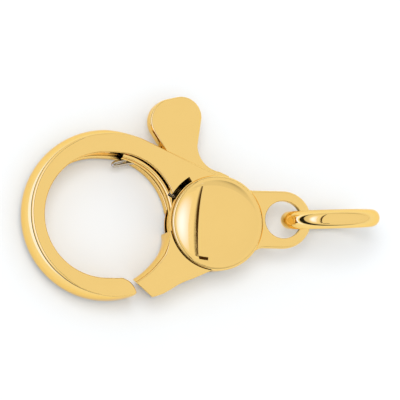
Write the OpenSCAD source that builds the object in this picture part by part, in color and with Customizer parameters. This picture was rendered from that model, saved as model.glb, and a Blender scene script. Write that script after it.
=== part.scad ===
// Lobster clasp: a round cast hook closed by a sprung lever, with a domed rivet and an upright jump ring.
// Millimetres. The origin is the pivot axis at the back face, +X towards the jump ring, +Z to the front.

/* [Hook] */
// Outer radius of the round hook
hook_r = 5.95; // [5.7:0.05:6.3]
// Distance from the pivot back to the middle of the hook
hook_back = 7.6; // [7.4:0.05:8]
// Height of the hook's middle above the pivot line
hook_rise = 0.485; // [0.3:0.02:0.7]
// Radius of the opening's round ends
opening_r = 4.375; // [4.1:0.02:4.6]
// Straight stretch between the opening's round ends, which thins the band at the far end
opening_stretch = 0.61; // [0.3:0.02:0.8]
// How far the opening sits forward of the hook's middle
opening_shift = 0.06; // [0:0.01:0.2]
// How far the opening sits below the hook's middle, which thickens the band at the top
opening_drop = 0.11; // [0:0.01:0.3]
// Thickness of the body from back to front
body_h = 3.0; // [2.8:0.05:3.4]
// Bulge of the hook's rounded outer side beyond its flat faces
bulge_w = 0.5; // [0.3:0.02:0.8]

/* [Hook tip] */
// Direction of the tip's round end, seen from the hook's middle
tip_angle = 276.15; // [272:0.5:280]
// Radius of the tip's round end
tip_round = 1.36; // [1.1:0.02:1.5]
// How far the middle of that round end lies inside the hook's outer edge
tip_inset = 0.12; // [0.05:0.01:0.3]
// Slant of the gap between the hook's tip and the lever's arm
tip_slant = 41.4; // [37:0.2:46]
// Gap between the hook's tip and the arm
tip_gap = 0.2; // [0.12:0.01:0.4]

/* [Plates and boss] */
// Radius of the round boss that the dome sits on
boss_r = 3.25; // [3.15:0.05:3.4]
// How much the boss narrows towards its back face
boss_taper = 0.6; // [0.3:0.05:0.8]
// Thickness of the front plate over the slot
front_plate = 0.62; // [0.5:0.02:0.7]
// Thickness of the back plate under the slot
back_plate = 0.8; // [0.6:0.02:0.9]
// How far the back plate shows past the front one inside the opening, upwards and forwards
back_lip = 0.2; // [0.05:0.01:0.3]
// Width of the relief gap between the boss and the hook's front plate
relief_w = 0.57; // [0.4:0.01:0.7]
// Angle round the pivot where the relief gap ends and the front plate joins the boss
relief_end = 122; // [116:1:130]
// Distance from the pivot to the straight top edge that runs from the hook to the boss
shoulder_r = 3.1; // [2.95:0.02:3.15]
// How far that edge lies inside the hook's outermost circle
shoulder_inset = 0.16; // [0.05:0.01:0.4]

// Angle round the hook over which the straight edge runs out into the rounded side
root_runout = 8; // [4:1:14]

/* [Lever] */
// Angle that the lever opens through
open_angle = 22; // [16:1:24]
// Radius of the lever's hub inside the casting
hub_r = 2.6; // [2.45:0.05:2.7]
// Running clearance above the lever's plate, under the front plate
plate_clear = 0.08; // [0.05:0.01:0.15]
// Clearance round the hub, behind the arm and at the far end of the slot
slot_clear = 0.1; // [0.06:0.01:0.15]
// How far the lever's plate shows past the front plate inside the opening
lip_w = 0.25; // [0.1:0.01:0.35]
// Reach of the lever's plate from the pivot along the slot
plate_reach = 7.9; // [7.4:0.05:8.1]
// Height of the plate's hidden upper edge in the slot above the pivot line
plate_top = 5.15; // [4.95:0.05:5.3]
// How far the plate's edge lies below the straight top edge
plate_inset = 0.3; // [0.1:0.05:0.5]
// Angle round the pivot of the lever's flank beside the tab
flank_angle = 91; // [88:1:96]
// Angle round the pivot where the arm's inner edge starts
arm_start = 191; // [188:1:196]
// Angle round the pivot where the arm's outer edge leaves the boss
arm_heel = 264; // [258:1:267]
// Radius of the arm's hollow inner edge
arm_edge_r = 5.9; // [5.2:0.1:7]
// Reach of the arm's inner corner before the tip's nearest place, along the gap
arm_inner = 0.16; // [0.05:0.01:0.3]
// Reach of the arm's outer corner past the tip's nearest place, along the gap
arm_corner = 1.63; // [1.4:0.02:1.8]
// Angle that the arm's end face leans away from the tip towards the back
arm_undercut = 12; // [4:1:16]
// Recess of the arm's back face above the surface it lies on
arm_lift = 0.05; // [0.02:0.01:0.15]

/* [Thumb tab] */
// Middle of the tab's round end, back from the pivot
tab_end_back = 2.33; // [2.2:0.01:2.45]
// Middle of the tab's round end, above the pivot
tab_end_up = 7.41; // [7.2:0.01:7.7]
// Radius of the tab's round end
tab_end_r = 1.43; // [1.3:0.01:1.5]
// Middle of the tab's round left lobe, back from the pivot
tab_lobe_back = 3.04; // [2.9:0.01:3.2]
// Middle of the tab's round left lobe, above the pivot
tab_lobe_up = 7.12; // [7:0.01:7.25]
// Radius of that lobe
tab_lobe_r = 1.55; // [1.45:0.01:1.6]
// Angle round the lobe where the neck's left edge starts
neck_angle = 218; // [205:1:230]
// Foot of the neck's left edge inside the slot, back from the pivot
neck_foot_back = 3.45; // [3.2:0.05:3.7]
// Foot of the neck's left edge inside the slot, above the pivot
neck_foot_up = 4.85; // [4.6:0.05:5]
// Radius of the hollow flare on the neck's right side
flare_r = 1.84; // [1.6:0.02:2.1]
// Height of the flare's narrowest place above the pivot line
flare_up = 5.47; // [5.3:0.05:5.7]
// Narrowest place of the neck's right side, back from the pivot
neck_right = 1.18; // [1:0.02:1.3]

/* [Dome and rivet] */
// Radius of the dome
dome_r = 3.18; // [3:0.02:3.25]
// Height of the dome above the front face
dome_h = 1.15; // [0.9:0.05:1.4]
// Height of the dome's short straight rim
dome_rim = 0.16; // [0.08:0.02:0.3]
// Radius of the hidden pivot pin
pin_r = 0.85; // [0.7:0.05:1]
// Running clearance between the pin and the lever
pin_clear = 0.03; // [0.01:0.01:0.08]
// Seating gap between the rivet and the body that it is set in
seat_gap = 0.02; // [0.01:0.01:0.05]

/* [Spring] */
// Thickness of the spring's wire
wire_d = 0.18; // [0.14:0.01:0.22]
// Radius of the coil round the hub's sleeve
coil_r = 1.85; // [1.75:0.05:1.95]
// Number of whole turns in the coil
coil_turns = 3; // [2:1:4]
// Clearance round the wire
wire_clear = 0.06; // [0.04:0.01:0.1]
// Gap between one turn of the coil and the next
coil_gap = 0.04; // [0.02:0.01:0.06]

/* [Eye and jump ring] */
// Distance from the pivot to the middle of the eye
eye_reach = 4.77; // [4.6:0.02:5.2]
// Height of the eye's middle above the pivot line
eye_rise = 0.33; // [0:0.02:0.4]
// Radius of the eye's hole
eye_r = 1.3; // [1.15:0.02:1.4]
// Width of the metal round the eye's far side
eye_wall = 0.7; // [0.6:0.01:0.9]
// Thickness of the lug that the eye is in
lug_h = 0.8; // [0.7:0.02:1]
// Corner radius of the lug's rounded rim
lug_edge = 0.34; // [0.2:0.01:0.36]
// Outside diameter of the jump ring
ring_d = 6.9; // [6.6:0.05:7.4]
// Thickness of the jump ring's wire
ring_wire = 1.25; // [1.1:0.05:1.3]
// Height of the ring's middle above the pivot line, seen from the front
ring_rise = 0.4; // [0.2:0.02:0.5]
// Angle that the upright ring leans by, towards the tip's side
ring_lean = 6; // [0:1:8]
// Angle that the ring is turned by, seen from the front
ring_turn = 3; // [0:1:5]
// Gap between the jump ring and the eye's rim
ring_gap = 0.05; // [0.03:0.01:0.15]

/* [Hidden] */
$fn = 96;
gold = [0.94, 0.79, 0.47];
steel = [0.72, 0.73, 0.75];

// Cut tools run this far past what they cut
over = 1;
// Longer than any stretch of the clasp, for half planes and sectors
far = 30;
// Steps round the hook's bulging side
bulge_steps = 12;
// Sides of the hook's and the ring's long circles, and of the lug's and the wire's small ones
fine = 128;
small = 32;

// Middle of the hook, and of the opening in it
hook_c = [-hook_back, hook_rise];
opening_c = hook_c + [opening_shift, -opening_drop];

// Heights of the slot, and of the lever's plate and the spring in it
wire_space = wire_d + 2 * wire_clear;
slot_z0 = back_plate;
slot_z1 = body_h - front_plate;
plate_z0 = slot_z0 + wire_space;
plate_z1 = slot_z1 - plate_clear;
wire_z = slot_z0 + wire_space / 2;

// The straight top edge is the line that touches both circles: its outward direction is at this angle
edge_angle = 90 + atan2(-hook_c[1], -hook_c[0])
    - asin((hook_r - shoulder_inset - shoulder_r) / norm(hook_c));
edge_n = [cos(edge_angle), sin(edge_angle)];

// Direction along the tip gap, outwards, and across it from the hook to the arm
tip_u = [cos(tip_slant), -sin(tip_slant)];
tip_n = [sin(tip_slant), cos(tip_slant)];
// Middle of the tip's round end, and the arm's end line at the tip's nearest place
tip_round_c = hook_c + (hook_r - tip_inset) * [cos(tip_angle), sin(tip_angle)];
arm_end = tip_round_c + (tip_round + tip_gap) * tip_n;

// The slot starts behind the lever's flank at its open limit, and ends past the plate's reach
slot_margin = 3;
slot_start = flank_angle - open_angle - slot_margin;
slot_reach = plate_reach + slot_clear;
slot_front_end = 183;
arm_heel_end = arm_heel + slot_margin;
// The back lip ends above the arm's inner edge at the open limit
back_lip_end = arm_start - open_angle - slot_margin;

// The arm stands clear of the boss, and its hollow edge runs from the boss to its toe
arm_r = boss_r + slot_clear;
arm_lip = arm_r * [cos(arm_start), sin(arm_start)];
arm_toe = arm_end - arm_inner * tip_u;

// Hub's sleeve inside the coil, and the pocket that holds the coil
coil_room = wire_d / 2 + wire_clear + 0.15;
sleeve_r = coil_r - coil_room;
pocket_r = coil_r + coil_room;
coil_pitch = wire_d + coil_gap;
pocket_top = wire_z + coil_turns * coil_pitch + wire_d / 2 + wire_clear;
sleeve_z0 = slot_z0 + wire_clear;

// Hairpin leg of the spring from the coil, under the plate, to its bend inside the opening and back:
// [x, y] from the pivot
spring_leg = [
    [-1.35, 1.69], [-2.45, 1.9], [-3.12, 2.45], [-3.72, 3.27], [-4.4, 3.98],
    [-5.1, 4.38], [-5.9, 4.5], [-6.85, 4.28], [-7.06, 4.1], [-6.88, 4.0],
    [-5.9, 4.25], [-5.35, 4.32]
];
coil_steps = 20;
leg_steps = 3;
wire_sides = 8;
// Angle round the pivot where the wire leaves the coil
coil_leave = 100;

// Eye and its rounded rim
eye_c = [eye_reach, eye_rise];
lug_z = body_h - lug_h / 2;
lug_corner = min(lug_edge, lug_h / 2 - 0.01, eye_wall / 2 - 0.01);
// The jump ring hangs on the rim with its lowest place on the resting surface
rim_x = eye_reach + eye_r + lug_corner;
rim_z = body_h - lug_h + lug_corner;
ring_mid_r = (ring_d - ring_wire) / 2;
ring_z = ring_mid_r * cos(ring_lean) + ring_wire / 2;
ring_x = rim_x + sqrt(pow(ring_mid_r - ring_wire / 2 - ring_gap - lug_corner, 2) - pow(ring_z - rim_z, 2));

// Sphere that the dome is cut from
cap_h = dome_h - dome_rim;
cap_r = (dome_r * dome_r + cap_h * cap_h) / (2 * cap_h);

// Centre of the circle of radius r through a and b that lies to the left of the way from a to b
function arc_centre(a, b, r) =
    let (d = b - a, h = sqrt(r * r - pow(norm(d) / 2, 2)))
    (a + b) / 2 + h * [-d[1], d[0]] / norm(d);

// Wedge between two angles round the pivot, wide enough to cut with
module sector(a0, a1) {
    steps = 8;
    arc = [for (i = [0:steps]) let (a = a0 + (a1 - a0) * i / steps) far * [cos(a), sin(a)]];
    polygon(concat([[0, 0]], arc));
}

// Opening of the hook, with its edge moved out by grow
module opening_shape(grow = 0) {
    r = opening_r + grow;
    for (side = [-1, 1]) translate(opening_c + [side * opening_stretch / 2, 0]) circle(r);
    translate(opening_c) square([opening_stretch, 2 * r], center = true);
}

// Opening at the back, where the back plate shows past the front one
module back_opening_shape() {
    difference() {
        opening_shape();
        difference() {
            sector(90, back_lip_end);
            translate([-back_lip, -back_lip]) opening_shape();
        }
    }
}

// The hook's root: from the hook's top, where it runs out into the round band, to the boss
module root_shape() {
    runout = edge_angle + root_runout;
    polygon([
        hook_c, hook_c + 0.97 * (hook_r - bulge_w) * [cos(runout), sin(runout)],
        hook_c + (hook_r - shoulder_inset) * edge_n, shoulder_r * edge_n, [0, 0]
    ]);
}

// What is cut away below the hook's middle so that its tip ends round
module past_tip() {
    difference() {
        translate([tip_round_c[0], hook_rise - far]) square(far);
        translate(tip_round_c) circle(tip_round);
    }
}

// Round hook with flat faces and a bulging outer side, before its opening is cut
module hook() {
    rim = hook_r - bulge_w;
    core = hook_r / 2;
    turn_end = 300;
    difference() {
        translate(hook_c) rotate([0, 0, edge_angle]) rotate_extrude(angle = turn_end - edge_angle, $fn = fine)
            polygon(concat(
                [[core, 0]],
                [for (i = [0:bulge_steps]) let (a = 180 * i / bulge_steps - 90)
                    [rim + bulge_w * cos(a), body_h / 2 * (1 + sin(a))]],
                [[core, body_h]]
            ));
        translate([0, 0, -over]) linear_extrude(body_h + 2 * over) past_tip();
    }
}

// Hook and root, opened right through
module open_hook() {
    difference() {
        union() {
            hook();
            linear_extrude(body_h) root_shape();
        }
        translate([0, 0, -over]) linear_extrude(slot_z0 + over) back_opening_shape();
        translate([0, 0, slot_z0]) linear_extrude(body_h) opening_shape();
    }
}

// Round boss that narrows towards the back
module boss() {
    cylinder(r1 = boss_r - boss_taper, r2 = boss_r, h = back_plate);
    translate([0, 0, back_plate]) cylinder(r = boss_r, h = body_h - back_plate);
}

// Slot that the lever's plate turns in
module slot_shape() {
    circle(hub_r + slot_clear);
    intersection() {
        circle(slot_reach);
        sector(slot_start, slot_front_end);
    }
    intersection() {
        circle(boss_r + over);
        sector(slot_start, arm_heel_end);
    }
}

// Lug with a rounded rim round the eye, and its neck into the boss
module lug() {
    half_w = eye_wall / 2 - lug_corner;
    half_h = lug_h / 2 - lug_corner;
    translate([eye_c[0], eye_c[1], lug_z]) rotate_extrude() translate([eye_r + eye_wall / 2, 0]) {
        square([eye_wall, 2 * half_h], center = true);
        square([2 * half_w, lug_h], center = true);
        for (x = [-1, 1], y = [-1, 1]) translate([x * half_w, y * half_h]) circle(lug_corner, $fn = small);
    }
    translate([0, 0, body_h - lug_h]) linear_extrude(lug_h) difference() {
        translate([0, eye_rise - eye_r - eye_wall]) square([eye_reach, 2 * (eye_r + eye_wall)]);
        translate(eye_c) circle(eye_r + lug_corner);
    }
}

// Hook, plates, boss and eye in one casting
module claw_body() {
    color(gold) difference() {
        union() {
            open_hook();
            boss();
            lug();
        }
        translate([0, 0, slot_z0]) linear_extrude(slot_z1 - slot_z0) slot_shape();
        translate([0, 0, slot_z1 - over / 2]) linear_extrude(front_plate + over) intersection() {
            difference() {
                circle(boss_r + relief_w);
                circle(boss_r);
            }
            sector(relief_end, slot_front_end);
        }
        translate([0, 0, -over]) cylinder(r = pin_r + seat_gap, h = body_h + 2 * over);
    }
}

// Closing arm from the boss to a little past the tip gap
module arm_shape() {
    corner = arm_end + arm_corner * tip_u;
    heel = arm_r * [cos(arm_heel), sin(arm_heel)];
    outer_u = (corner - heel) / norm(corner - heel);
    past_toe = arm_toe - 1.5 * tip_u;
    difference() {
        polygon([[0, 0], 1.5 * arm_lip, past_toe, past_toe - over * tip_n, corner + over * outer_u, heel]);
        circle(arm_r);
        translate(arc_centre(arm_toe, arm_lip, arm_edge_r)) circle(arm_edge_r);
    }
}

// Arm at its full thickness, with its end face leaning away from the hook's tip
module arm() {
    difference() {
        translate([0, 0, arm_lift]) linear_extrude(body_h - arm_lift) arm_shape();
        translate([arm_end[0], arm_end[1], body_h]) rotate([0, 0, -tip_slant]) rotate([arm_undercut, 0, 0])
            translate([-far / 2, -far, -far]) cube([far, far, 2 * far]);
    }
}

// Thumb tab: a round end and a lobe on a neck, hollowed on its right side
module tab_shape() {
    tab_end = [-tab_end_back, tab_end_up];
    tab_lobe = [-tab_lobe_back, tab_lobe_up];
    flare_c = [flare_r - neck_right, flare_up];
    flare_foot = [0.3, flare_up - flare_r + 0.2];
    lobe_foot = tab_lobe + tab_lobe_r * [cos(neck_angle), sin(neck_angle)];
    across = tab_end - tab_lobe;
    across_n = [-across[1], across[0]] / norm(across);
    translate(tab_end) circle(tab_end_r);
    translate(tab_lobe) circle(tab_lobe_r);
    polygon([tab_lobe, tab_lobe + tab_lobe_r * across_n, tab_end + tab_end_r * across_n, tab_end]);
    difference() {
        polygon([
            tab_lobe, lobe_foot, [-neck_foot_back, neck_foot_up], [0, hub_r], flare_foot,
            [-neck_right, flare_up], tab_end + [tab_end_r, 0], tab_end
        ]);
        translate(flare_c) circle(flare_r);
        intersection() {
            circle(arm_r);
            sector(0, flank_angle);
        }
    }
}

// Plate of the lever that fills the slot: hub, web behind the front plate, and the root of the arm
module plate_shape() {
    circle(hub_r);
    intersection() {
        circle(boss_r - slot_clear);
        sector(flank_angle, arm_heel);
    }
    intersection() {
        circle(arm_r + slot_clear / 2);
        sector(arm_start + slot_margin, arm_heel - slot_margin);
    }
    difference() {
        intersection() {
            circle(plate_reach);
            sector(flank_angle, slot_front_end - slot_margin);
            rotate(edge_angle) translate([shoulder_r - plate_inset - far, -far]) square([far, 2 * far]);
            translate([-far, 0]) square([far, plate_top]);
        }
        opening_shape(-lip_w);
    }
}

// Lever in one casting: plate, tab and arm, bored for the pin and pocketed for the coil
module lever() {
    color(gold) difference() {
        union() {
            translate([0, 0, plate_z0]) linear_extrude(plate_z1 - plate_z0) {
                plate_shape();
                tab_shape();
            }
            translate([0, 0, sleeve_z0]) cylinder(r = sleeve_r, h = body_h / 2 - sleeve_z0);
            arm();
        }
        cylinder(r = pin_r + pin_clear, h = body_h);
        translate([0, 0, plate_z0 - over]) linear_extrude(pocket_top - plate_z0 + over) difference() {
            circle(pocket_r);
            circle(sleeve_r);
        }
    }
}

// Shallow dome on the front with the pivot pin under it
module dome_rivet() {
    base = body_h + seat_gap;
    color(gold) {
        cylinder(r = pin_r, h = base + dome_rim / 2);
        intersection() {
            translate([0, 0, base]) cylinder(r = dome_r, h = dome_h);
            translate([0, 0, base + dome_h - cap_r]) sphere(cap_r);
        }
    }
}

// Point at share t between b and c of a smooth curve through a, b, c and d
function smooth(a, b, c, d, t) =
    b + t / 2 * (c - a) + t * t * (a - 2.5 * b + 2 * c - d / 2) + t * t * t / 2 * (3 * (b - c) + d - a);

function leg_point(i) = spring_leg[max(0, min(len(spring_leg) - 1, i))];

// The wire's middle line: down the coil and out along the leg
spring_path = concat(
    [for (i = [0:coil_turns * coil_steps]) let (left = coil_turns - i / coil_steps, a = coil_leave - 360 * left)
        [coil_r * cos(a), coil_r * sin(a), wire_z + coil_pitch * left]],
    [for (i = [0:len(spring_leg) - 2], s = [0:leg_steps - 1])
        let (p = smooth(leg_point(i - 1), leg_point(i), leg_point(i + 1), leg_point(i + 2), s / leg_steps))
        [p[0], p[1], wire_z]],
    [[spring_leg[len(spring_leg) - 1][0], spring_leg[len(spring_leg) - 1][1], wire_z]]
);

// Round tube along a path that stays nearly level
module wire(path, d) {
    n = len(path);
    function along(i) = let (t = path[min(n - 1, i + 1)] - path[max(0, i - 1)]) t / norm(t);
    points = [for (i = [0:n - 1]) let (t = along(i), u = cross([0, 0, 1], t) / norm(cross([0, 0, 1], t)))
        for (k = [0:wire_sides - 1]) let (a = 360 * (k + 0.5) / wire_sides)
            path[i] + d / 2 * (cos(a) * u + sin(a) * cross(t, u))];
    sides = [for (i = [0:n - 2], k = [0:wire_sides - 1]) let (j = (k + 1) % wire_sides)
        [i * wire_sides + k, (i + 1) * wire_sides + k, (i + 1) * wire_sides + j, i * wire_sides + j]];
    start_cap = [[for (k = [0:wire_sides - 1]) k]];
    end_cap = [[for (k = [wire_sides - 1:-1:0]) (n - 1) * wire_sides + k]];
    polyhedron(points = points, faces = concat(sides, start_cap, end_cap));
}

// Wire spring: its coil sits in the lever's pocket and its hairpin end shows inside the opening
module spring() {
    color(steel) wire(spring_path, wire_d);
}

// Soldered round wire ring standing through the eye
module jump_ring() {
    color(gold) translate([ring_x, ring_rise, ring_z])
        rotate([0, 0, ring_turn]) rotate([90 + ring_lean, 0, 0]) rotate_extrude($fn = fine)
            translate([ring_mid_r, 0]) circle(ring_wire / 2, $fn = small);
}

claw_body();
lever();
dome_rivet();
spring();
jump_ring();
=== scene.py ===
"""Polished gold lobster clasp: its looks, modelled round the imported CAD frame.

Every piece is shaped in millimetres, at its place in the frame, and settled in metres when it is finished.
"""

import logging
import math
from dataclasses import dataclass
from enum import Enum

import bpy
from bpy.types import Material, Node, Nodes, NodeTree, Object
from mathutils import Matrix, Vector


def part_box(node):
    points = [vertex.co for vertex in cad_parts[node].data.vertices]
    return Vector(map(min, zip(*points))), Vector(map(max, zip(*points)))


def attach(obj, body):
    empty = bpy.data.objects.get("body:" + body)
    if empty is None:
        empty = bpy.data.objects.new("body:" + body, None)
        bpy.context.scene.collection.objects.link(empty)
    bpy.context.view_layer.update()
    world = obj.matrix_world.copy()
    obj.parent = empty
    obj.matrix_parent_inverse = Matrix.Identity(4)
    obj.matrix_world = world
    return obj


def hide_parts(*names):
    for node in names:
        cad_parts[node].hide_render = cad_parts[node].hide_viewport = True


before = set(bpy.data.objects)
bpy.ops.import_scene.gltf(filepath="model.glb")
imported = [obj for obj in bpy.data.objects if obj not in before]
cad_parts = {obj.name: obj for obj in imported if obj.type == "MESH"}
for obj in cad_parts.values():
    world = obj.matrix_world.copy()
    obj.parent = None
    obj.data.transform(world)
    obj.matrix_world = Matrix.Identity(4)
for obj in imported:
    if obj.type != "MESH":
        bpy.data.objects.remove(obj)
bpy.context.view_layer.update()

LOG = logging.getLogger("lobster_clasp")
MM = 0.001
Point = tuple[float, float]
Place = tuple[float, float, float]
Colour = tuple[float, float, float]
PIVOT: Point = (0.0, 0.0)
WHITE: Colour = (1.0, 1.0, 1.0)


class Join(Enum):
    """Ways in which one solid is combined with another."""

    UNION = "UNION"
    CUT = "DIFFERENCE"


class Edge(Enum):
    """Shape of a slab's side: its bulge, the rounding of its two edges and its lean towards the back."""

    PLAIN = (0.0, 0.0, 0.0)
    BAND = (0.56, 0.0, 0.0)
    OPENING = (0.0, 0.15, 0.0)
    TIP = (0.08, 0.12, 0.0)
    SHOULDER = (0.06, 0.14, 0.0)
    TAB = (0.0, 0.2, 0.0)
    LIP = (0.0, 0.36, 0.0)
    ARM_INNER = (0.5, 0.0, 0.08)
    ARM_END = (0.0, 0.1, 0.0)
    ARM_OUTER = (0.0, 0.12, 0.0)
    LUG = (0.0, 0.28, 0.0)


@dataclass(frozen=True)
class Spot:
    """One point of an outline, with the shape of the side from there to the next point."""

    x: float
    y: float
    bulge: float
    rounding: float
    lean: float

    def depth(self, height: float, thickness: float) -> float:
        """How far the side lies inside the outline.

        Args:
            height: Height above the back face.
            thickness: Thickness of the slab.

        Returns:
            The depth.
        """
        up = 2 * height / thickness - 1
        bow = self.bulge * (1 - math.sqrt(max(0.0, 1 - up * up)))
        short = max(0.0, self.rounding - min(height, thickness - height))
        corner = self.rounding - math.sqrt(max(0.0, self.rounding**2 - short**2))
        return bow + corner + self.lean * (thickness - height)


def polar(centre: Point, radius: float, angle: float) -> Point:
    """Point at a distance and a direction from a centre.

    Args:
        centre: Where the distance starts.
        radius: The distance.
        angle: The direction in degrees, from +X towards +Y.

    Returns:
        The point.
    """
    turn = math.radians(angle)
    return centre[0] + radius * math.cos(turn), centre[1] + radius * math.sin(turn)


def bearing(centre: Point, point: Point) -> float:
    """Direction from one point to another, in degrees."""
    return math.degrees(math.atan2(point[1] - centre[1], point[0] - centre[0]))


def quarter_turn() -> list[float]:
    """Seven even angles from 0 to a right angle, in radians."""
    return [math.radians(15 * i) for i in range(7)]


def crossing(centre_a: Point, radius_a: float, centre_b: Point, radius_b: float, side: int) -> Point:
    """Where two circles cross.

    Args:
        centre_a: Middle of the first circle.
        radius_a: Its radius.
        centre_b: Middle of the second circle.
        radius_b: Its radius.
        side: 1 for the crossing to the left of the way from the first middle to the second, -1 for the right.

    Returns:
        The crossing.
    """
    apart = math.dist(centre_a, centre_b)
    share = (radius_a**2 - radius_b**2 + apart**2) / (2 * apart * radius_a)
    return polar(centre_a, radius_a, bearing(centre_a, centre_b) + side * math.degrees(math.acos(share)))


class Outline:
    """Closed outline seen from the front, drawn with its metal on the left of the way round."""

    STEP = 0.12

    def __init__(self) -> None:
        """Starts with no points."""
        self.spots: list[Spot] = []

    def add(self, spot: Spot) -> None:
        """Adds one point, in place of the last one if they coincide.

        Args:
            spot: The point.
        """
        same = 1e-4
        if self.spots and math.dist((spot.x, spot.y), (self.spots[-1].x, self.spots[-1].y)) < same:
            self.spots.pop()
        self.spots.append(spot)

    def to(self, point: Point, edge: Edge = Edge.PLAIN) -> "Outline":
        """Adds a corner.

        Args:
            point: Where it lies.
            edge: Shape of the side from there on.

        Returns:
            The outline itself, so that calls can follow each other.
        """
        self.add(Spot(*point, *edge.value))
        return self

    def arc(self, centre: Point, radius: float, start: float, end: float, edge: Edge = Edge.PLAIN,
            last_edge: Edge | None = None, last_radius: float | None = None) -> "Outline":
        """Adds a round stretch, on which the side's shape and the radius may change evenly.

        Args:
            centre: Middle of the arc.
            radius: Its radius at the start.
            start: Direction of its first point in degrees.
            end: Direction of its last point, lower than start for a hollow stretch.
            edge: The side's shape at the start.
            last_edge: The side's shape at the end, if it changes.
            last_radius: The radius at the end, if it changes.

        Returns:
            The outline itself.
        """
        steps = max(2, math.ceil(abs(math.radians(end - start)) * radius / self.STEP))
        last_shape = (last_edge or edge).value
        grown = 0.0 if last_radius is None else last_radius - radius
        for i in range(steps + 1):
            share = i / steps
            x, y = polar(centre, radius + share * grown, start + share * (end - start))
            shape = (first + share * (last - first) for first, last in zip(edge.value, last_shape))
            self.add(Spot(x, y, *shape))
        return self

    @classmethod
    def sector(cls, centre: Point, radii: Point, span: Point) -> "Outline":
        """Outline of a stretch of a flat ring.

        Args:
            centre: Middle of the ring.
            radii: Its inner and its outer radius.
            span: Directions of the stretch's two ends in degrees.

        Returns:
            The outline.
        """
        (inner, outer), (first, last) = radii, span
        return cls().arc(centre, outer, first, last).arc(centre, inner, last, first)

    def level(self, height: float, thickness: float) -> list[Point]:
        """The outline at one height, with each side moved in by its own depth.

        Args:
            height: Height above the back face.
            thickness: Thickness of the slab.

        Returns:
            The moved points.
        """
        bend = 0.3
        count = len(self.spots)
        moved = []
        for i, here in enumerate(self.spots):
            before, after = self.spots[i - 1], self.spots[(i + 1) % count]
            first = Vector((before.y - here.y, here.x - before.x)).normalized()
            second = Vector((here.y - after.y, after.x - here.x)).normalized()
            near, far = before.depth(height, thickness), here.depth(height, thickness)
            turn = first.x * second.y - first.y * second.x
            if abs(turn) > bend:
                step = Vector((near * second.y - far * first.y, far * first.x - near * second.x)) / turn
            else:
                step = (near + far) / 2 * (first + second).normalized()
            moved.append((here.x + step.x, here.y + step.y))
        return moved


def side_heights(thickness: float, rounding: float, bulged: bool) -> list[float]:
    """Heights above a slab's back face at which its side is drawn.

    Args:
        thickness: The slab's thickness.
        rounding: Its widest rounding.
        bulged: True if some of the side bulges.

    Returns:
        The heights, from 0 to the thickness.
    """
    corner_steps, side_steps = 7, 7
    near = [rounding * (1 - math.cos(math.pi / 2 * i / corner_steps)) for i in range(corner_steps + 1)]
    if bulged:
        low = near[-1] / (thickness / 2)
        first = math.acos(1 - low)
        turns = [first + (math.pi / 2 - first) * (i + 1) / side_steps for i in range(side_steps)]
        near += [thickness / 2 * (1 - math.cos(turn)) for turn in turns]
    if rounding == 0 and not bulged:
        near = [0.0]
    far = [thickness - height for height in reversed(near)]
    return near + [height for height in far if height > near[-1] + 1e-6]


def select_only(piece: Object) -> None:
    """Makes one object the only selected one, and the active one.

    Args:
        piece: The object.
    """
    bpy.ops.object.select_all(action="DESELECT")
    piece.select_set(True)
    bpy.context.view_layer.objects.active = piece


def loft(name: str, rings: list[list[Place]]) -> Object:
    """Closed skin through rings of points, extruded ring by ring from a round plate.

    Args:
        name: Name of the new object.
        rings: The rings, from the back to the front, each with as many points as the others.

    Returns:
        The new object.
    """
    bpy.ops.object.select_all(action="DESELECT")
    bpy.ops.mesh.primitive_circle_add(vertices=len(rings[0]), radius=1.0, fill_type="NGON")
    piece = bpy.context.object
    piece.name = piece.data.name = name
    bpy.ops.object.mode_set(mode="EDIT")
    bpy.ops.mesh.select_all(action="SELECT")
    for _ in rings[1:]:
        bpy.ops.mesh.extrude_region_move(TRANSFORM_OT_translate={"value": (0, 0, 1)})
    bpy.ops.object.mode_set(mode="OBJECT")
    for vertex, spot in zip(piece.data.vertices, (spot for ring in rings for spot in ring)):
        vertex.co = spot
    bpy.ops.object.mode_set(mode="EDIT")
    bpy.ops.mesh.select_all(action="SELECT")
    bpy.ops.mesh.normals_make_consistent(inside=False)
    bpy.ops.object.mode_set(mode="OBJECT")
    return piece


def slab(name: str, outline: Outline, back: float, front: float) -> Object:
    """Flat casting with shaped sides.

    Args:
        name: Name of the new object.
        outline: Its outline, at its widest.
        back: Height of its back face.
        front: Height of its front face.

    Returns:
        The new object.
    """
    thickness = front - back
    widest = max(spot.rounding for spot in outline.spots)
    heights = side_heights(thickness, widest, any(spot.bulge for spot in outline.spots))
    return loft(name, [[(x, y, back + height) for x, y in outline.level(height, thickness)]
                       for height in heights])


def turned(name: str, profile: list[Point], centre: Point = PIVOT, sides: int = 144) -> Object:
    """Round solid through a profile.

    Args:
        name: Name of the new object.
        profile: Radius and height of each ring, from the back to the front.
        centre: Where its axis stands.
        sides: Points in each ring.

    Returns:
        The new object.
    """
    angles = [360 * i / sides for i in range(sides)]
    return loft(name, [[(*polar(centre, radius, angle), height) for angle in angles]
                       for radius, height in profile])


def combine(piece: Object, tool: Object, join: Join) -> None:
    """Joins a second solid to a piece, or cuts it out, and removes the second one.

    Args:
        piece: The object that stays.
        tool: The object that is used up.
        join: What is done with it.
    """
    select_only(piece)
    modifier = piece.modifiers.new(name="combine", type="BOOLEAN")
    modifier.operation = join.value
    modifier.solver = "EXACT"
    modifier.object = tool
    bpy.ops.object.modifier_apply(modifier=modifier.name)
    bpy.data.objects.remove(tool, do_unlink=True)


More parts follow.
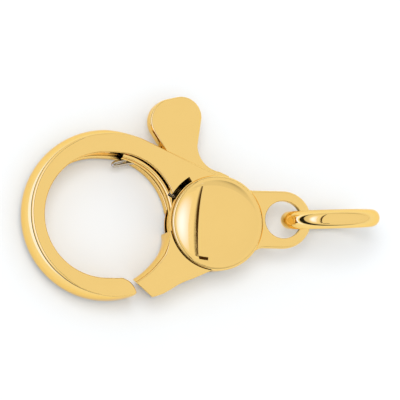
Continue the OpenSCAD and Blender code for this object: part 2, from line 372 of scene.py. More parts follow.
def settle(piece: Object, crease: float = 32.0) -> None:
    """Cleans a finished piece, smooths its round sides, keeps its faces flat and puts it in metres.

    Args:
        piece: The object.
        crease: Angle in degrees above which an edge stays crisp.
    """
    closest = 1e-4
    select_only(piece)
    bpy.ops.object.mode_set(mode="EDIT")
    bpy.ops.mesh.select_all(action="SELECT")
    bpy.ops.mesh.remove_doubles(threshold=closest)
    bpy.ops.mesh.dissolve_degenerate(threshold=closest)
    bpy.ops.object.mode_set(mode="OBJECT")
    bpy.ops.object.shade_smooth_by_angle(angle=math.radians(crease))
    modifier = piece.modifiers.new(name="even_normals", type="WEIGHTED_NORMAL")
    modifier.keep_sharp = True
    bpy.ops.object.modifier_apply(modifier=modifier.name)
    piece.data.transform(Matrix.Scale(MM, 4))


@dataclass(frozen=True)
class ClaspSizes:
    """Driving sizes of the clasp in millimetres, from the pivot at its back face."""

    body_h: float = 3.0
    hook_r: float = 5.95
    hook_c: Point = (-7.6, 0.485)
    opening_r: float = 4.375
    opening_c: Point = (-7.54, 0.375)
    opening_stretch: float = 0.61
    shoulder_r: float = 3.1
    shoulder_inset: float = 0.16
    boss_r: float = 3.25
    back_plate: float = 0.8
    tip_angle: float = 276.15
    tip_round: float = 1.36
    tip_inset: float = 0.12
    tip_slant: float = 41.4
    tip_gap: float = 0.2
    pin_r: float = 0.85

    @property
    def edge_angle(self) -> float:
        """Outward direction of the straight top edge, which touches the hook and the boss.

        Returns:
            The direction in degrees.
        """
        drop = self.hook_r - self.shoulder_inset - self.shoulder_r
        back = (-self.hook_c[0], -self.hook_c[1])
        return 90 + bearing(PIVOT, back) - math.degrees(math.asin(drop / math.hypot(*back)))

    @property
    def tip_c(self) -> Point:
        """Middle of the tip's round end."""
        return polar(self.hook_c, self.hook_r - self.tip_inset, self.tip_angle)

    @property
    def arm_end(self) -> Point:
        """The arm's end at the tip's nearest place."""
        return polar(self.tip_c, self.tip_round + self.tip_gap, 90 - self.tip_slant)

    @property
    def opening_ends(self) -> tuple[Point, Point]:
        """Middles of the opening's two round ends, the far one first."""
        (x, y), half = self.opening_c, self.opening_stretch / 2
        return (x - half, y), (x + half, y)


@dataclass
class ClawBody:
    """Casting with the round hook, the two plates, the boss and the eye."""

    sizes: ClaspSizes
    runout: float = 26.0
    tip_runout: float = 232.0
    tip_corner: float = 0.22
    back_lip: float = 0.2
    boss_taper: float = 0.6
    boss_front_r: float = 3.34
    boss_round: float = 0.07
    bezel_r: float = 3.175
    bezel_curve: Point = (0.39, 0.4)
    bezel_top: float = 3.216
    undercut_w: float = 1.1
    undercut_front: float = 2.85
    undercut_span: Point = (24.0, 94.0)
    relief_w: float = 0.38
    relief_start: float = 122.0
    slot_front: float = 2.5
    slot_start: float = 66.0
    slot_end: float = 183.0
    slot_heel: float = 267.0
    slot_reach: float = 8.0
    slot_hub: float = 2.7
    eye_c: Point = (4.77, 0.33)
    eye_r: float = 1.3
    eye_wall: float = 0.7
    eye_fillets: tuple[float, float] = (1.1, 0.6)
    eye_round: float = 0.34
    eye_front_round: float = 0.09
    lug_h: float = 0.8

    def hook_outline(self) -> Outline:
        """Outline of the hook and its root, round the outer side, the tip and the opening.

        Returns:
            The outline.
        """
        s = self.sizes
        far_end, near_end = s.opening_ends
        corner = self.tip_corner
        corner_c = crossing(s.hook_c, s.hook_r - corner, s.tip_c, s.tip_round - corner, 1)
        tip_top = crossing(s.tip_c, s.tip_round, near_end, s.opening_r, -1)
        shoulder = s.edge_angle
        hidden, root = 5.0, (-s.boss_r / 2, 0.1)
        outline = Outline()
        outline.arc(s.hook_c, s.hook_r - s.shoulder_inset, shoulder, shoulder + self.runout,
                    Edge.SHOULDER, Edge.BAND, s.hook_r)
        outline.arc(s.hook_c, s.hook_r, shoulder + self.runout, self.tip_runout, Edge.BAND)
        outline.arc(s.hook_c, s.hook_r, self.tip_runout, bearing(s.hook_c, corner_c) + 360,
                    Edge.BAND, Edge.TIP)
        outline.arc(corner_c, corner, bearing(s.hook_c, corner_c), bearing(s.tip_c, corner_c), Edge.TIP)
        outline.arc(s.tip_c, s.tip_round, bearing(s.tip_c, corner_c), bearing(s.tip_c, tip_top),
                    Edge.TIP, Edge.OPENING)
        outline.arc(near_end, s.opening_r, bearing(near_end, tip_top), -90, Edge.OPENING)
        outline.arc(far_end, s.opening_r, 270, 90, Edge.OPENING)
        outline.arc(near_end, s.opening_r, 90, hidden, Edge.OPENING)
        outline.to(root)
        outline.to(polar(PIVOT, s.boss_r / 2, shoulder))
        outline.to(polar(PIVOT, s.shoulder_r, shoulder), Edge.SHOULDER)
        return outline

    def lip_outline(self) -> Outline:
        """Outline of the back plate's edge that shows past the front plate inside the opening.

        Returns:
            The outline.
        """
        s = self.sizes
        far_end, near_end = s.opening_ends
        first, last, inside = 8.6, 128.0, 0.4
        covered = s.opening_r + inside
        far_moved, near_moved = ((x - self.back_lip, y - self.back_lip) for x, y in s.opening_ends)
        outline = Outline()
        outline.arc(near_end, covered, first, 90)
        outline.arc(far_end, covered, 90, last)
        outline.arc(far_moved, s.opening_r, last, 90, Edge.OPENING)
        outline.arc(near_moved, s.opening_r, 90, first, Edge.OPENING)
        return outline

    def lug_outline(self) -> Outline:
        """Outline of the flat lug round the eye, from inside the boss.

        Returns:
            The outline.
        """
        reach = self.eye_r + self.eye_wall
        low, high = self.eye_fillets
        inside = 0.03
        boss = self.boss_front_r - inside
        below, above = self.eye_c[1] - reach - low, self.eye_c[1] + reach + high
        low_c = (math.sqrt((boss + low) ** 2 - below**2), below)
        high_c = (math.sqrt((boss + high) ** 2 - above**2), above)
        outline = Outline()
        outline.to(polar(PIVOT, boss / 2, bearing(PIVOT, low_c)))
        outline.arc(low_c, low, bearing(low_c, PIVOT), 90, Edge.LUG)
        outline.arc(self.eye_c, reach, -90, 90, Edge.LUG)
        outline.arc(high_c, high, 270, bearing(high_c, PIVOT) + 360, Edge.LUG)
        outline.to(polar(PIVOT, boss / 2, bearing(PIVOT, high_c)))
        return outline

    def slot_outline(self) -> Outline:
        """Outline of the slot that the lever's plate turns in.

        Returns:
            The outline.
        """
        past_boss = 1.0
        cheek = self.sizes.boss_r + past_boss
        outline = Outline()
        outline.arc(PIVOT, self.slot_reach, self.slot_start, self.slot_end)
        outline.arc(PIVOT, cheek, self.slot_end, self.slot_heel)
        outline.arc(PIVOT, self.slot_hub, self.slot_heel, self.slot_start + 360)
        return outline

    def boss_profile(self) -> list[Point]:
        """Radius and height of each ring of the boss.

        Returns:
            The profile, from the back face to the front one.
        """
        s = self.sizes
        low, waist = self.boss_round, s.boss_r - self.boss_taper
        back = [(waist - low * (1 - math.sin(a)), low * (1 - math.cos(a))) for a in quarter_turn()]
        wide, tall = self.bezel_curve
        inner = self.bezel_r - (self.boss_front_r - wide)
        steps = 8
        turns = [math.acos(1 - (1 - inner / wide) * i / steps) for i in range(steps + 1)]
        foot = self.bezel_top - tall
        bezel = [(self.boss_front_r - wide * (1 - math.cos(a)), foot + tall * math.sin(a)) for a in turns]
        return back + [(s.boss_r, s.back_plate)] + bezel + [(self.bezel_r, s.body_h)]

    def eye_profile(self) -> list[Point]:
        """Radius and height of each ring of the solid that cuts the eye, with its rounded rims.

        Returns:
            The profile, from behind the lug to its front.
        """
        front = self.sizes.body_h
        back = front - self.lug_h
        over, turns = 0.3, quarter_turn()
        low, high = self.eye_round, self.eye_front_round
        profile = [(self.eye_r + low, back - over)]
        profile += [(self.eye_r + low * (1 - math.sin(a)), back + low * (1 - math.cos(a))) for a in turns]
        profile += [(self.eye_r + high * (1 - math.cos(a)), front - high * (1 - math.sin(a))) for a in turns]
        return profile + [(self.eye_r + high, front + over)]

    def build(self) -> Object:
        """Models the casting.

        Returns:
            The piece.
        """
        s = self.sizes
        over, edge, seat, lip_sink, lug_sink = 0.5, 0.3, 0.02, 0.005, 0.003
        low, high = s.back_plate, self.slot_front
        piece = slab("claw_casting", self.hook_outline(), 0.0, s.body_h)
        combine(piece, slab("back_lip", self.lip_outline(), 0.0, low - lip_sink), Join.UNION)
        combine(piece, turned("boss", self.boss_profile()), Join.UNION)
        lug = slab("lug", self.lug_outline(), s.body_h - self.lug_h, s.body_h - lug_sink)
        combine(piece, lug, Join.UNION)
        combine(piece, turned("eye", self.eye_profile(), self.eye_c), Join.CUT)
        combine(piece, slab("slot", self.slot_outline(), low, high), Join.CUT)
        hollow = Outline.sector(s.opening_ends[1], (s.opening_r - edge, s.opening_r + self.undercut_w),
                                self.undercut_span)
        combine(piece, slab("undercut", hollow, high - over, self.undercut_front), Join.CUT)
        gap = Outline.sector(PIVOT, (self.boss_front_r, self.boss_front_r + self.relief_w),
                             (self.relief_start, self.slot_end))
        combine(piece, slab("relief", gap, high - over, s.body_h + over), Join.CUT)
        bore = [(s.pin_r + seat, -over), (s.pin_r + seat, s.body_h + over)]
        combine(piece, turned("bore", bore), Join.CUT)
        settle(piece)
        return piece


@dataclass
class Lever:
    """Casting with the thumb tab, the plate in the slot and the closing arm."""

    sizes: ClaspSizes
    plate_back: float = 1.1
    plate_front: float = 2.3
    lip_front: float = 1.85
    groove_radii: Point = (3.3, 3.8)
    groove_span: Point = (119.0, 149.0)
    hub_r: float = 2.6
    flank_angle: float = 91.0
    lip_w: float = 0.25
    plate_reach: float = 7.9
    plate_top: float = 5.15
    plate_inset: float = 0.3
    arm_clear: float = 0.1
    arm_start: float = 191.0
    arm_heel: float = 264.0
    arm_edge_r: float = 5.9
    arm_inner: float = 0.16
    arm_corner: float = 1.5
    arm_outer: tuple[Point, ...] = (
        (-4.62, -5.26), (-4.4, -5.24), (-3.8, -5.03), (-3.2, -4.68), (-2.7, -4.36), (-2.2, -4.12),
        (-1.65, -3.92),
    )
    face_runout: float = 0.35
    arm_lift: float = 0.05
    end_lean: float = 12.0
    tab_end: Point = (-2.33, 7.41)
    tab_end_r: float = 1.43
    tab_lobe: Point = (-3.04, 7.12)
    tab_lobe_r: float = 1.55
    neck_angle: float = 218.0
    neck_foot: Point = (-3.45, 4.85)
    flare_r: float = 1.84
    flare_up: float = 5.47
    neck_right: float = 1.18
    flare_foot: float = 262.0
    notch_end: float = 72.0
    notch_foot: Point = (1.04, 3.37)
    bore_clear: float = 0.03
    pocket: Point = (1.55, 2.15)
    pocket_top: float = 1.76
    sleeve_back: float = 0.86

    def arm_outline(self) -> Outline:
        """Outline of the closing arm, from the boss to the tip gap and back.

        Returns:
            The outline.
        """
        s = self.sizes
        inner_r, skipped = s.boss_r + self.arm_clear, 1.0
        lip = polar(PIVOT, inner_r, self.arm_start)
        toe = polar(s.arm_end, -self.arm_inner, -s.tip_slant)
        corner = polar(s.arm_end, self.arm_corner, -s.tip_slant)
        hollow = crossing(lip, self.arm_edge_r, toe, self.arm_edge_r, -1)
        first, last = bearing(hollow, lip), bearing(hollow, toe)
        grown = first + self.face_runout * (last - first)
        outline = Outline()
        outline.arc(hollow, self.arm_edge_r, first, grown, Edge.PLAIN, Edge.ARM_INNER)
        outline.arc(hollow, self.arm_edge_r, grown, last, Edge.ARM_INNER)
        outline.to(toe, Edge.ARM_END)
        outline.to(corner, Edge.ARM_END)
        for place in self.arm_outer:
            outline.to(place, Edge.ARM_OUTER)
        outline.to(polar(PIVOT, inner_r, self.arm_heel))
        outline.arc(PIVOT, inner_r, self.arm_heel - skipped, self.arm_start + skipped)
        return outline

    def end_tool(self) -> Object:
        """Block that cuts the arm's end face, which leans away from the hook's tip.

        Returns:
            The block.
        """
        s = self.sizes
        side, depth, over = 4.0, 3.0, 0.5
        rings = []
        for height in (-over, s.body_h + over):
            back = (s.body_h - height) * math.tan(math.radians(self.end_lean))
            near = polar(s.arm_end, back, 90 - s.tip_slant)
            far = polar(s.arm_end, -depth, 90 - s.tip_slant)
            places = [polar(middle, reach, -s.tip_slant) for middle, reach in
                      ((far, -side), (far, side), (near, side), (near, -side))]
            rings.append([(x, y, height) for x, y in places])
        return loft("arm_end", rings)

    def tab_outline(self) -> Outline:
        """Outline of the thumb tab and its neck, down into the slot.

        Returns:
            The outline.
        """
        flare_c = (self.flare_r - self.neck_right, self.flare_up)
        apart = math.dist(self.tab_lobe, self.tab_end)
        touch = bearing(self.tab_lobe, self.tab_end) + math.degrees(
            math.acos((self.tab_lobe_r - self.tab_end_r) / apart))
        notch_r = self.sizes.boss_r + self.arm_clear
        first, in_plate, in_hub = -4.0, 1.0, 0.3
        outline = Outline()
        outline.arc(flare_c, self.flare_r, self.flare_foot, 180, Edge.TAB)
        outline.arc(self.tab_end, self.tab_end_r, first, touch, Edge.TAB)
        outline.arc(self.tab_lobe, self.tab_lobe_r, touch, self.neck_angle, Edge.TAB)
        outline.to(self.neck_foot, Edge.TAB)
        outline.to((self.neck_foot[0], self.neck_foot[1] - in_plate))
        outline.to(polar(PIVOT, self.hub_r - in_hub, self.flank_angle))
        outline.arc(PIVOT, notch_r, self.flank_angle, self.notch_end)
        outline.to(self.notch_foot, Edge.TAB)
        return outline

    def plate_outline(self) -> Outline:
        """Outline of the plate in the slot, whose lower edge shows inside the opening.

        Returns:
            The outline.
        """
        s = self.sizes
        _, near_end = s.opening_ends
        edge_r, last, skipped, in_hub = s.opening_r - self.lip_w, -4.0, 1.0, 1.2
        far_corner = crossing(PIVOT, self.plate_reach, near_end, edge_r, -1)
        upper = math.radians(s.edge_angle)
        line = s.shoulder_r - self.plate_inset
        bend = ((line - self.plate_top * math.sin(upper)) / math.cos(upper), self.plate_top)
        top_left = (-math.sqrt(self.plate_reach**2 - self.plate_top**2), self.plate_top)
        outline = Outline()
        outline.to(polar(PIVOT, in_hub, self.flank_angle))
        outline.to((math.cos(math.radians(self.flank_angle)), line / math.sin(upper)))
        outline.to(bend)
        outline.to(top_left)
        outline.to(far_corner, Edge.LIP)
        outline.arc(near_end, edge_r, bearing(near_end, far_corner) - skipped, last, Edge.LIP)
        return outline

    def hub_outline(self) -> Outline:
        """Outline of the hub with the roots of the plate and the arm.

        Returns:
            The outline.
        """
        root_r = self.sizes.boss_r - self.arm_clear
        margin, skipped, in_arm = 3.0, 0.5, 0.15
        start, heel = self.arm_start + margin, self.arm_heel - margin
        outline = Outline()
        outline.arc(PIVOT, root_r, self.flank_angle, start)
        outline.arc(PIVOT, self.sizes.boss_r + in_arm, start, heel)
        outline.arc(PIVOT, root_r, heel + skipped, self.arm_heel)
        outline.arc(PIVOT, self.hub_r, self.arm_heel, self.flank_angle + 360)
        return outline

    def build(self) -> Object:
        """Models the casting.

        Returns:
            The piece.
        """
        s = self.sizes
        over, nudge = 0.5, 0.004
        back, front = self.plate_back, self.plate_front
        sleeve_r, pocket_r = self.pocket
        bore_r = s.pin_r + self.bore_clear
        piece = slab("lever_casting", self.arm_outline(), self.arm_lift, s.body_h)
        combine(piece, self.end_tool(), Join.CUT)
        combine(piece, slab("hub", self.hub_outline(), back, front), Join.UNION)
        combine(piece, slab("plate", self.plate_outline(), back + nudge, self.lip_front), Join.UNION)
        combine(piece, slab("tab", self.tab_outline(), back + 2 * nudge, front - 2 * nudge), Join.UNION)
        groove = Outline.sector(PIVOT, self.groove_radii, self.groove_span)
        combine(piece, slab("groove", groove, back - over, s.body_h + over), Join.CUT)
        combine(piece, turned("pocket", [(pocket_r, back - over), (pocket_r, self.pocket_top)]), Join.CUT)
        sleeve = turned("sleeve", [(sleeve_r, self.sleeve_back), (sleeve_r, s.body_h / 2 + over)])
        combine(piece, sleeve, Join.UNION)
        combine(piece, turned("bore", [(bore_r, 0.0), (bore_r, s.body_h)]), Join.CUT)
        settle(piece)
        return piece


@dataclass
class DomeRivet:
    """Shallow dome with a rounded rim on the front, with the pivot pin under it."""

    sizes: ClaspSizes
    seat_gap: float = 0.02
    dome_h: float = 1.15
    dome_round: float = 5.1
    cap_r: float = 2.95
    rim_r: float = 3.165
    rim_curve: Point = (0.39, 0.4)
    foot_bevel: float = 0.06
    sides: int = 192

    def profile(self) -> list[Point]:
        """Radius and height of each ring, from the pin's foot to the dome's top.

        Returns:
            The profile.
        """
        base = self.sizes.body_h + self.seat_gap
        top = base + self.dome_h
        pin_r, bevel = self.sizes.pin_r, self.foot_bevel
        slope = math.asin(self.cap_r / self.dome_round)
        edge_z = top - self.dome_round * (1 - math.cos(slope))
        wide, tall = self.rim_curve
        reach = (self.rim_r - self.cap_r) / wide
        rim_steps, cap_steps, top_r = 6, 48, 0.01
        turns = [math.asin(reach * (1 - i / rim_steps)) for i in range(rim_steps + 1)]
        cap = [slope * (1 - i / cap_steps) for i in range(1, cap_steps)]
        points = [(pin_r - bevel, 0.0), (pin_r, bevel), (pin_r, base), (self.rim_r, base)]
        points += [(self.cap_r + wide * math.sin(a), edge_z - tall * (1 - math.cos(a))) for a in turns]
        points += [(self.dome_round * math.sin(a), top - self.dome_round * (1 - math.cos(a))) for a in cap]
        return points + [(top_r, top)]

    def build(self) -> Object:
        """Models the rivet.

        Returns:
            The piece.
        """
        piece = turned("dome_cap_and_pin", self.profile(), sides=self.sides)
        settle(piece)
        return piece


@dataclass
class Spring:
    """Wire spring: a coil round the sleeve and a hairpin leg that shows inside the opening."""

    wire_d: float = 0.22
    coil_r: float = 1.85
    turns: int = 3
    pitch: float = 0.22
    wire_z: float = 0.95
    leave: float = 100.0
    leg: tuple[Point, ...] = (
        (-1.35, 1.69), (-2.45, 1.9), (-3.12, 2.45), (-3.72, 3.27), (-4.4, 3.98), (-5.1, 4.38),
        (-5.9, 4.45), (-6.75, 4.27), (-6.96, 4.12), (-6.8, 4.01), (-5.9, 4.2), (-5.35, 4.27),
    )

    def path(self) -> list[Vector]:
        """The wire's middle line, down the coil and out along the leg.

        Returns:
            The points.
        """
        steps, leg_steps = 28, 6
        points = []
        for i in range(self.turns * steps + 1):
            left = self.turns - i / steps
            x, y = polar(PIVOT, self.coil_r, self.leave - 360 * left)
            points.append(Vector((x, y, self.wire_z + self.pitch * left)))
        leg = [Vector((x, y, self.wire_z)) for x, y in self.leg]
        for i in range(len(leg) - 1):
            a, b, c, d = (leg[max(0, min(len(leg) - 1, j))] for j in (i - 1, i, i + 1, i + 2))
            for k in range(leg_steps):
                t = k / leg_steps
                points.append(b + t / 2 * (c - a) + t * t * (a - 2.5 * b + 2 * c - d / 2)
                              + t**3 / 2 * (3 * (b - c) + d - a))
        return points + [leg[-1]]

    def build(self) -> Object:
        """Models the spring.

        Returns:
            The piece.
        """
        path = self.path()
        bpy.ops.object.select_all(action="DESELECT")
        bpy.ops.curve.primitive_nurbs_path_add()
        piece = bpy.context.object
        piece.name = "hairpin_spring"
        line = piece.data
        line.splines.clear()
        spline = line.splines.new("POLY")
        spline.points.add(len(path) - 1)
        for place, point in zip(spline.points, path):
            place.co = (*point, 1.0)
        line.bevel_depth = self.wire_d / 2
        line.bevel_resolution = 4
        line.use_fill_caps = True
        bpy.ops.object.convert(target="MESH")
        piece = bpy.context.object
        piece.data.name = piece.name
        settle(piece, crease=50.0)
        return piece


@dataclass
class JumpRing:
    """Soldered ring of round wire that stands in the eye."""

    outer_d: float = 6.9
    wire_d: float = 1.25
    rise: float = 0.4
    lean: float = 6.0
    turn: float = 3.0
    seam_at: float = 150.0
    seam_w: float = 2.2
    seam_h: float = 0.012

    def build(self) -> Object:
        """Models the ring, with the low swelling of its soldered seam.

        Returns:
            The piece.
        """
        low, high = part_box("jump_ring")
        mid_r = (self.outer_d - self.wire_d) / 2
        bpy.ops.object.select_all(action="DESELECT")
        bpy.ops.mesh.primitive_torus_add(major_radius=mid_r, minor_radius=self.wire_d / 2,
                                         major_segments=192, minor_segments=64)
        piece = bpy.context.object
        piece.name = piece.data.name = "soldered_ring"
        for vertex in piece.data.vertices:
            angle = bearing(PIVOT, vertex.co[:2])
            middle = Vector((*polar(PIVOT, mid_r, angle), 0))
            off = (angle - self.seam_at + 180) % 360 - 180
            swell = 1 + self.seam_h * math.exp(-((off / self.seam_w) ** 2))
            vertex.co = middle + (vertex.co - middle) * swell
        place = Matrix.Translation(((low.x + high.x) / 2 / MM, self.rise, (low.z + high.z) / 2 / MM))
        turn = Matrix.Rotation(math.radians(self.turn), 4, "Z")
        piece.data.transform(place @ turn @ Matrix.Rotation(math.radians(90 + self.lean), 4, "X"))
        piece.visible_glossy = False
        settle(piece, crease=60.0)
        return piece


def colour_mix(nodes: Nodes, ends: dict[str, Colour]) -> Node:
    """Adds a node that mixes two colours.

    Args:
        nodes: Where it is added.
        ends: The colours that are constant, by their socket, A or B.

    Returns:
        The node.
    """
    mix = nodes.new("ShaderNodeMix")
    mix.data_type = "RGBA"
    for socket, colour in ends.items():
        mix.inputs[socket].default_value = (*colour, 1.0)
    return mix


@dataclass(frozen=True)
class ShaderGroup:
    """Group of shader nodes that is made once and then shared."""

    name: str
    inputs: tuple[str, ...]
    outputs: tuple[str, ...]

    def wire(self, tree: NodeTree, start: Node, end: Node) -> None:
        """Adds the nodes between the group's inputs and its outputs.

        Args:
            tree: The new group.
            start: The node with its inputs.
            end: The node with its outputs.
        """
        raise NotImplementedError

    def group(self) -> NodeTree:
        """Finds the group, or makes it.

        Returns:
            The group.
        """
        if self.name in bpy.data.node_groups:
            return bpy.data.node_groups[self.name]
        tree = bpy.data.node_groups.new(self.name, "ShaderNodeTree")
        for side, labels in (("INPUT", self.inputs), ("OUTPUT", self.outputs)):
            for label in labels:
                tree.interface.new_socket(label, in_out=side, socket_type="NodeSocketFloat")
        self.wire(tree, tree.nodes.new("NodeGroupInput"), tree.nodes.new("NodeGroupOutput"))
        return tree

    def node(self, nodes: Nodes, values: tuple[float, ...]) -> Node:
        """Adds a node of the group to a material.

        Args:
            nodes: Where it is added.
            values: One value for each of its inputs.

        Returns:
            The node.
        """
        made = nodes.new("ShaderNodeGroup")
        made.node_tree = self.group()
        for label, value in zip(self.inputs, values):
            made.inputs[label].default_value = value
        return made


@dataclass(frozen=True)
class PolishWear(ShaderGroup):
    """Faint clouding and grain of a hand-polished casting."""

    name: str = "polish_wear"
    inputs: tuple[str, ...] = ("Cloud Scale", "Grain Scale")
    outputs: tuple[str, ...] = ("Cloud", "Grain")
    detail: tuple[float, ...] = (3.0, 2.0)

    def wire(self, tree: NodeTree, start: Node, end: Node) -> None:
        """Adds one noise for each output.

        Args:
            tree: The new group.
            start: The node with the two scales.
            end: The node with the two noises.
        """
        place = tree.nodes.new("ShaderNodeTexCoord")
        for scale, label, detail in zip(self.inputs, self.outputs, self.detail):
            noise = tree.nodes.new("ShaderNodeTexNoise")
            noise.inputs["Detail"].default_value = detail
            tree.links.new(place.outputs["Object"], noise.inputs["Vector"])
            tree.links.new(start.outputs[scale], noise.inputs["Scale"])
            tree.links.new(noise.outputs["Fac"], end.inputs[label])


@dataclass(frozen=True)
class CreviceShade(ShaderGroup):
    """Mask for the painted shade in deep narrow gaps, from 0 in a gap to 1 on an open face."""

    name: str = "crevice_shade"
    inputs: tuple[str, ...] = ("Reach",)
    outputs: tuple[str, ...] = ("Open",)
    dark_below: float = 0.43
    clear_above: float = 0.54

    def wire(self, tree: NodeTree, start: Node, end: Node) -> None:
        """Adds the measure of how open a place is.

        Args:
            tree: The new group.
            start: The node with the distance that is searched.
            end: The node with the mask.
        """
        near = tree.nodes.new("ShaderNodeAmbientOcclusion")
        level = tree.nodes.new("ShaderNodeMapRange")
        level.inputs["From Min"].default_value = self.dark_below
        level.inputs["From Max"].default_value = self.clear_above
        tree.links.new(start.outputs["Reach"], near.inputs["Distance"])
        tree.links.new(near.outputs["AO"], level.inputs["Value"])
        tree.links.new(level.outputs["Result"], end.inputs["Open"])


@dataclass(frozen=True)
class MetalFinish:
    """Polished metal with faint clouding in its colour, gloss and surface, and painted shade in its narrow
    gaps.
    """

    name: str
    colour: Colour
    deep_colour: Colour
    edge_tint: Colour
    roughness: tuple[float, float]
    cloud_scale: float
    grain_scale: float
    grain_depth: float
    # Painted shade: how far the crevice mask searches, and the near-black colour painted into narrow gaps in
    # place of their shadow.
    gap_shade_reach: float
    gap_shade_colour: Colour = (0.01, 0.007, 0.004)

    def material(self) -> Material:
        """Makes the material.

        Returns:
            The material.
        """
        made = bpy.data.materials.new(self.name)
        made.use_nodes = True
        nodes, links = made.node_tree.nodes, made.node_tree.links
        shader = nodes["Principled BSDF"]
        shader.inputs["Metallic"].default_value = 1.0
        shader.inputs["Specular Tint"].default_value = (*self.edge_tint, 1.0)
        wear = PolishWear().node(nodes, (self.cloud_scale, self.grain_scale))
        gap = CreviceShade().node(nodes, (self.gap_shade_reach,))
        tone = colour_mix(nodes, {"A": self.deep_colour, "B": self.colour})
        # Painted shade: the crevice mask mixes narrow gaps towards the near-black gap colour, standing in for
        # shadow.
        shade = colour_mix(nodes, {"A": self.gap_shade_colour})
        gloss = nodes.new("ShaderNodeMapRange")
        gloss.inputs["To Min"].default_value, gloss.inputs["To Max"].default_value = self.roughness
        bump = nodes.new("ShaderNodeBump")
        bump.inputs["Strength"].default_value = 1.0
        bump.inputs["Distance"].default_value = self.grain_depth
        links.new(wear.outputs["Cloud"], tone.inputs["Factor"])
        links.new(tone.outputs["Result"], shade.inputs["B"])
        links.new(gap.outputs["Open"], shade.inputs["Factor"])
        links.new(shade.outputs["Result"], shader.inputs["Base Color"])
        links.new(wear.outputs["Cloud"], gloss.inputs["Value"])
        links.new(gloss.outputs["Result"], shader.inputs["Roughness"])
        links.new(wear.outputs["Grain"], bump.inputs["Height"])
        links.new(bump.outputs["Normal"], shader.inputs["Normal"])
        return made


GOLD = MetalFinish(
    name="polished_yellow_gold",
    colour=(0.95, 0.655, 0.225),
    deep_colour=(0.92, 0.625, 0.205),
    edge_tint=(1.0, 0.84, 0.52),
    roughness=(0.02, 0.045),
    cloud_scale=500.0,
    grain_scale=5000.0,
    grain_depth=2e-8,
    gap_shade_reach=9e-4,
)
STEEL = MetalFinish(
    name="spring_wire",
    colour=(0.62, 0.58, 0.5),
    deep_colour=(0.5, 0.46, 0.4),
    edge_tint=WHITE,
    roughness=(0.15, 0.3),
    cloud_scale=800.0,
    grain_scale=6000.0,
    grain_depth=1e-7,
    gap_shade_reach=5e-5,
)


class Fade(Enum):
    """Ways in which a panel's light changes from its edge: the gradient, and how far along it that ends."""

    ROUND = ("SPHERICAL", 1.0)
    ACROSS = ("LINEAR", 0.6)


@dataclass(frozen=True)
class Panel:
    """Level panel over the clasp, which shows in the metal but not in the picture.

    Lengths are in millimetres, the slant is in degrees, and the taper is its width at the top of the picture
    as a share of its width at the bottom.
    """

    name: str
    x: Point
    y: Point
    edge: Colour
    centre: Colour
    slant: float = 0.0
    taper: float = 1.0
    fade: Fade = Fade.ROUND
    height: float = 48.0

    def material(self) -> Material:
        """Makes its glowing material.

        Returns:
            The material.
        """
        gradient, end_at = self.fade.value
        made = bpy.data.materials.new(self.name)
        made.use_nodes = True
        nodes, links = made.node_tree.nodes, made.node_tree.links
        nodes.clear()
        space = nodes.new("ShaderNodeTexCoord")
        fade = nodes.new("ShaderNodeTexGradient")
        fade.gradient_type = gradient
        level = nodes.new("ShaderNodeMapRange")
        level.interpolation_type = "SMOOTHSTEP"
        level.inputs["From Max"].default_value = end_at
        light = colour_mix(nodes, {"A": self.edge, "B": self.centre})
        glow = nodes.new("ShaderNodeEmission")
        end = nodes.new("ShaderNodeOutputMaterial")
        links.new(space.outputs["Object"], fade.inputs["Vector"])
        links.new(fade.outputs["Fac"], level.inputs["Value"])
        links.new(level.outputs["Result"], light.inputs["Factor"])
        links.new(light.outputs["Result"], glow.inputs["Color"])
        links.new(glow.outputs["Emission"], end.inputs["Surface"])
        return made

    def hang(self) -> None:
        """Hangs the panel at its place."""
        place = Vector((sum(self.x) / 2, sum(self.y) / 2, self.height)) * MM
        turn = (0, 0, math.radians(self.slant))
        bpy.ops.mesh.primitive_plane_add(size=2.0, location=place, rotation=turn)
        plane = bpy.context.object
        plane.name = self.name
        for corner in plane.data.vertices:
            corner.co.x *= self.taper if corner.co.y > 0 else 1.0
        plane.scale = ((self.x[1] - self.x[0]) / 2 * MM, (self.y[1] - self.y[0]) / 2 * MM, 1.0)
        plane.data.materials.append(self.material())
        plane.visible_camera = plane.visible_diffuse = plane.visible_shadow = False


BROWN_DARK: Colour = (0.06, 0.03, 0.006)
PANELS = (
    Panel("left_softbox", (-84.0, -23.0), (-72.0, 80.0), WHITE, (1.3, 1.6, 3.9)),
    Panel("dark_slit", (-36.4, -17.0), (-64.0, 100.0), WHITE, BROWN_DARK,
          slant=-4.3, taper=0.7, fade=Fade.ACROSS),
    Panel("dark_notch", (-22.5, -3.0), (-73.0, -60.0), BROWN_DARK, BROWN_DARK),
    Panel("back_window", (-34.0, -12.0), (122.0, 150.0), (1.1, 1.2, 2.0), (1.4, 2.0, 5.0)),
    Panel("dim_back", (-60.0, 300.0), (100.0, 420.0), (0.85, 0.85, 0.85), (0.45, 0.45, 0.45)),
    Panel("low_card", (-60.0, -17.5), (-32.0, 34.0), (1.1, 1.35, 2.6), (1.3, 1.65, 4.0), height=0.05),
)


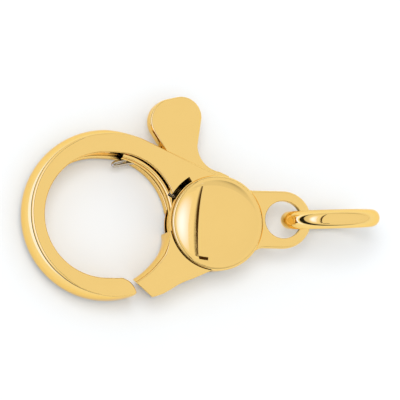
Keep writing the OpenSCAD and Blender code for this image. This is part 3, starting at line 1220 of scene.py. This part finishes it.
@dataclass
class Studio:
    """Floor, soft lights and the camera at the photograph's angle."""

    sizes: ClaspSizes
    toward_camera: Place = (-0.235, -0.105, 1.0)
    pixels_per_mm: float = 14.4
    pivot_pixel: Point = (217.0, 222.7)
    picture_side: float = 400.0
    distance: float = 1.0
    sensor: float = 36.0
    tent: tuple[Point, ...] = ((0.0, 0.02), (0.02, 0.02), (0.06, 0.8), (0.3, 0.93), (1.0, 0.95))
    tent_tilt: Place = (0.2, 0.12, 1.0)
    shadow_from: Place = (-90.0, 90.0, 420.0)
    shadow_size: float = 200.0
    shadow_energy: float = 0.6
    floor_colour: Colour = (0.77, 0.8, 0.83)
    floor_drop: float = 0.01

    def camera(self) -> None:
        """Makes the long-lens camera, so that the pivot falls on its pixel."""
        back = Vector(self.toward_camera).normalized()
        right = Vector((0, 1, 0)).cross(back).normalized()
        up = back.cross(right)
        half = self.picture_side / 2
        shift_x = (self.pivot_pixel[0] - half) / self.pixels_per_mm * MM
        shift_y = (half - self.pivot_pixel[1]) / self.pixels_per_mm * MM
        aim = Vector((0, 0, self.sizes.body_h * MM)) - shift_x * right - shift_y * up
        bpy.ops.object.camera_add(location=aim + self.distance * back)
        camera = bpy.context.object
        camera.rotation_euler = Matrix((right, up, back)).transposed().to_euler()
        camera.data.sensor_width = self.sensor
        camera.data.lens = self.sensor * self.distance / (self.picture_side / self.pixels_per_mm * MM)
        camera.data.clip_start, camera.data.clip_end = 0.01, 10.0
        bpy.context.scene.camera = camera

    def shadow_light(self) -> None:
        """Hangs the soft light that casts the shadows from the upper left, unseen in the metal."""
        place = Vector(self.shadow_from) * MM
        bpy.ops.object.light_add(type="AREA", location=place)
        lamp = bpy.context.object
        lamp.name = lamp.data.name = "shadow_light"
        lamp.rotation_euler = place.to_track_quat("Z", "Y").to_euler()
        lamp.data.shape = "DISK"
        lamp.data.size = self.shadow_size * MM
        lamp.data.energy = self.shadow_energy
        lamp.visible_camera = lamp.visible_glossy = False

    def floor(self) -> None:
        """Lays the plain pale floor."""
        bpy.ops.mesh.primitive_plane_add(size=3.0, location=(0, 0, -self.floor_drop * MM))
        floor = bpy.context.object
        floor.name = "pale_floor"
        made = bpy.data.materials.new("pale_floor")
        made.use_nodes = True
        shader = made.node_tree.nodes["Principled BSDF"]
        shader.inputs["Base Color"].default_value = (*self.floor_colour, 1.0)
        shader.inputs["Roughness"].default_value = 0.9
        shader.inputs["Specular IOR Level"].default_value = 0.1
        shader.inputs["Emission Color"].default_value = (*WHITE, 1.0)
        shader.inputs["Emission Strength"].default_value = 0.1
        floor.data.materials.append(made)

    def world(self) -> None:
        """Sets the pale tent, dimmer low down and dark at its foot, which the camera sees as plain white."""
        world = bpy.data.worlds.new("pale_tent")
        world.use_nodes = True
        nodes, links = world.node_tree.nodes, world.node_tree.links
        sky = nodes["Background"]
        space = nodes.new("ShaderNodeTexCoord")
        tilt = nodes.new("ShaderNodeVectorMath")
        tilt.operation = "DOT_PRODUCT"
        tilt.inputs[1].default_value = self.tent_tilt
        ramp = nodes.new("ShaderNodeValToRGB")
        while len(ramp.color_ramp.elements) < len(self.tent):
            ramp.color_ramp.elements.new(1.0)
        for stop, (rise, glow) in zip(ramp.color_ramp.elements, self.tent):
            stop.position, stop.color = rise, (glow, glow, glow, 1.0)
        path = nodes.new("ShaderNodeLightPath")
        pick = colour_mix(nodes, {"B": WHITE})
        links.new(space.outputs["Generated"], tilt.inputs[0])
        links.new(tilt.outputs["Value"], ramp.inputs["Fac"])
        links.new(ramp.outputs["Color"], pick.inputs["A"])
        links.new(path.outputs["Is Camera Ray"], pick.inputs["Factor"])
        links.new(pick.outputs["Result"], sky.inputs["Color"])
        bpy.context.scene.world = world
        bpy.context.scene.view_settings.view_transform = "Standard"

    def build(self) -> None:
        """Sets up the whole studio."""
        self.world()
        self.floor()
        for panel in PANELS:
            panel.hang()
        self.shadow_light()
        self.camera()


def main() -> None:
    """Builds, dresses and reports every piece, then the studio."""
    logging.basicConfig(level=logging.INFO, format="%(message)s")
    sizes = ClaspSizes()
    gold, steel = GOLD.material(), STEEL.material()
    pieces = (
        ("claw_body", "clasp", "yellow_gold", gold, ClawBody(sizes)),
        ("lever", "lever", "yellow_gold", gold, Lever(sizes)),
        ("dome_rivet", "clasp", "yellow_gold", gold, DomeRivet(sizes)),
        ("spring", "clasp", "spring_steel", steel, Spring()),
        ("jump_ring", "clasp", "yellow_gold", gold, JumpRing()),
    )
    for node, body, slot, material, maker in pieces:
        piece = maker.build()
        piece.data.materials.clear()
        piece.data.materials.append(material)
        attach(piece, body)
        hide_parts(node)
        LOG.info("%s stands for %s: %d faces", piece.name, node, len(piece.data.polygons))
    Studio(sizes).build()


if __name__ == "__main__":
    main()
